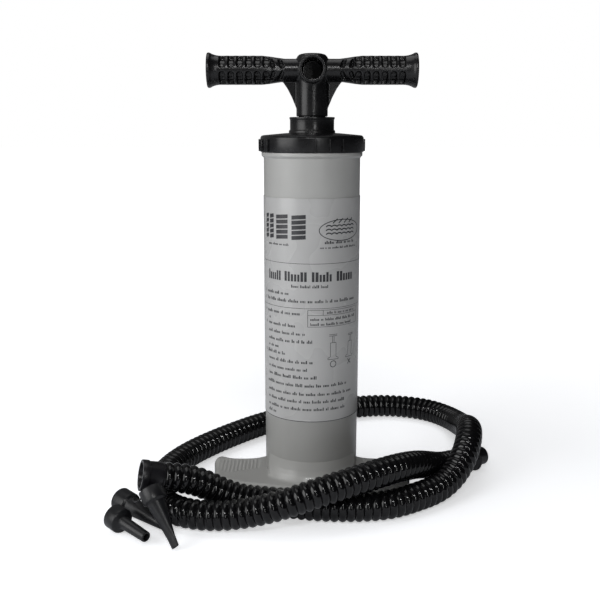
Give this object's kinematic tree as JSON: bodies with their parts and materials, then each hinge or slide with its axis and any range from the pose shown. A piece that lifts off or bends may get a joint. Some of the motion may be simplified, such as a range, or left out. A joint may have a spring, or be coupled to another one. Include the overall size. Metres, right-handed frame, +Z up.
{
  "type": "double-action hand air pump",
  "caption": "Double-action hand air pump: T-handle plunger in a footed barrel, screw cap, corrugated hose and push-in nozzles.",
  "frame": {"origin": "centre of the foot's box on the ground, under the barrel's axis", "axes": "+Z up along the barrel, +X along the handle to the user's right, -Y the side with the inflating port and the label"},
  "size_m": [0.4264, 0.4132, 0.4817],
  "materials": {
    "grey_plastic": "satin, moulded",
    "label_film": "thin printed film",
    "black_gloss": "glossy, moulded",
    "black_hose": "glossy corrugated hose",
    "black_matt": "satin",
    "white_plastic": "satin",
    "rubber": "matt",
    "rod_steel": "bright drawn tube"
  },
  "bodies": {
    "barrel": {"barrel_and_foot": "grey_plastic", "label_film": "label_film", "hose": "black_hose", "hose_cuff": "black_gloss", "hose_connector": "black_gloss", "nozzle_cone": "black_matt", "nozzle_tube": "black_matt", "nozzle_pinch": "black_matt", "nozzle_tether": "black_matt"},
    "cap_lift": {"cap_gasket": "rubber"},
    "cap": {"cap": "black_gloss", "rod_guide_bush": "white_plastic", "rod_wiper_seal": "rubber"},
    "seal_carrier": {"piston_seal": "rubber"},
    "plunger": {"handle_body": "black_gloss", "grip_plug_left": "black_gloss", "grip_plug_right": "black_gloss", "rod_tube": "rod_steel", "air_tube": "white_plastic", "rod_screw": "rod_steel", "bumper_ring": "rubber", "piston_upper_plate": "black_gloss", "piston_chest": "black_gloss", "piston_lower_plate": "black_gloss", "piston_screw_1": "rod_steel", "piston_screw_2": "rod_steel", "piston_screw_3": "rod_steel"},
    "intake_valve_lower_body": {"intake_valve_lower": "rubber"},
    "intake_valve_upper_body": {"intake_valve_upper": "rubber"},
    "outlet_valve_lower_body": {"outlet_valve_lower": "rubber"},
    "outlet_valve_upper_body": {"outlet_valve_upper": "rubber"}
  },
  "joints": [
    {"name": "cap_rise", "type": "slide", "parent": "barrel", "child": "cap_lift", "axis": [0, 0, 1], "range_m": [0, 0.005]},
    {"name": "cap_turn", "type": "hinge", "parent": "cap_lift", "child": "cap", "pos_m": [0, 0, 0.3925], "axis": [0, 0, 1], "range_deg": [0, 400]},
    {"name": "plunger_stroke", "type": "slide", "parent": "cap", "child": "seal_carrier", "axis": [0, 0, 1], "range_m": [0, 0.327]},
    {"name": "plunger_swivel", "type": "hinge", "parent": "seal_carrier", "child": "plunger", "pos_m": [0, 0, 0.03], "axis": [0, 0, 1], "continuous": true},
    {"name": "intake_valve_lower_lift", "type": "slide", "parent": "plunger", "child": "intake_valve_lower_body", "axis": [0, 0, -1], "range_m": [0, 0.0015]},
    {"name": "intake_valve_upper_lift", "type": "slide", "parent": "plunger", "child": "intake_valve_upper_body", "axis": [0, 0, 1], "range_m": [0, 0.0015]},
    {"name": "outlet_valve_lower_lift", "type": "slide", "parent": "plunger", "child": "outlet_valve_lower_body", "axis": [0, 0, 1], "range_m": [0, 0.0015]},
    {"name": "outlet_valve_upper_lift", "type": "slide", "parent": "plunger", "child": "outlet_valve_upper_body", "axis": [0, 0, -1], "range_m": [0, 0.0015]}
  ],
  "couplings": [
    {"joint": "cap_rise", "follows": "cap_turn", "m_per_rad": 0.0007162}
  ]
}
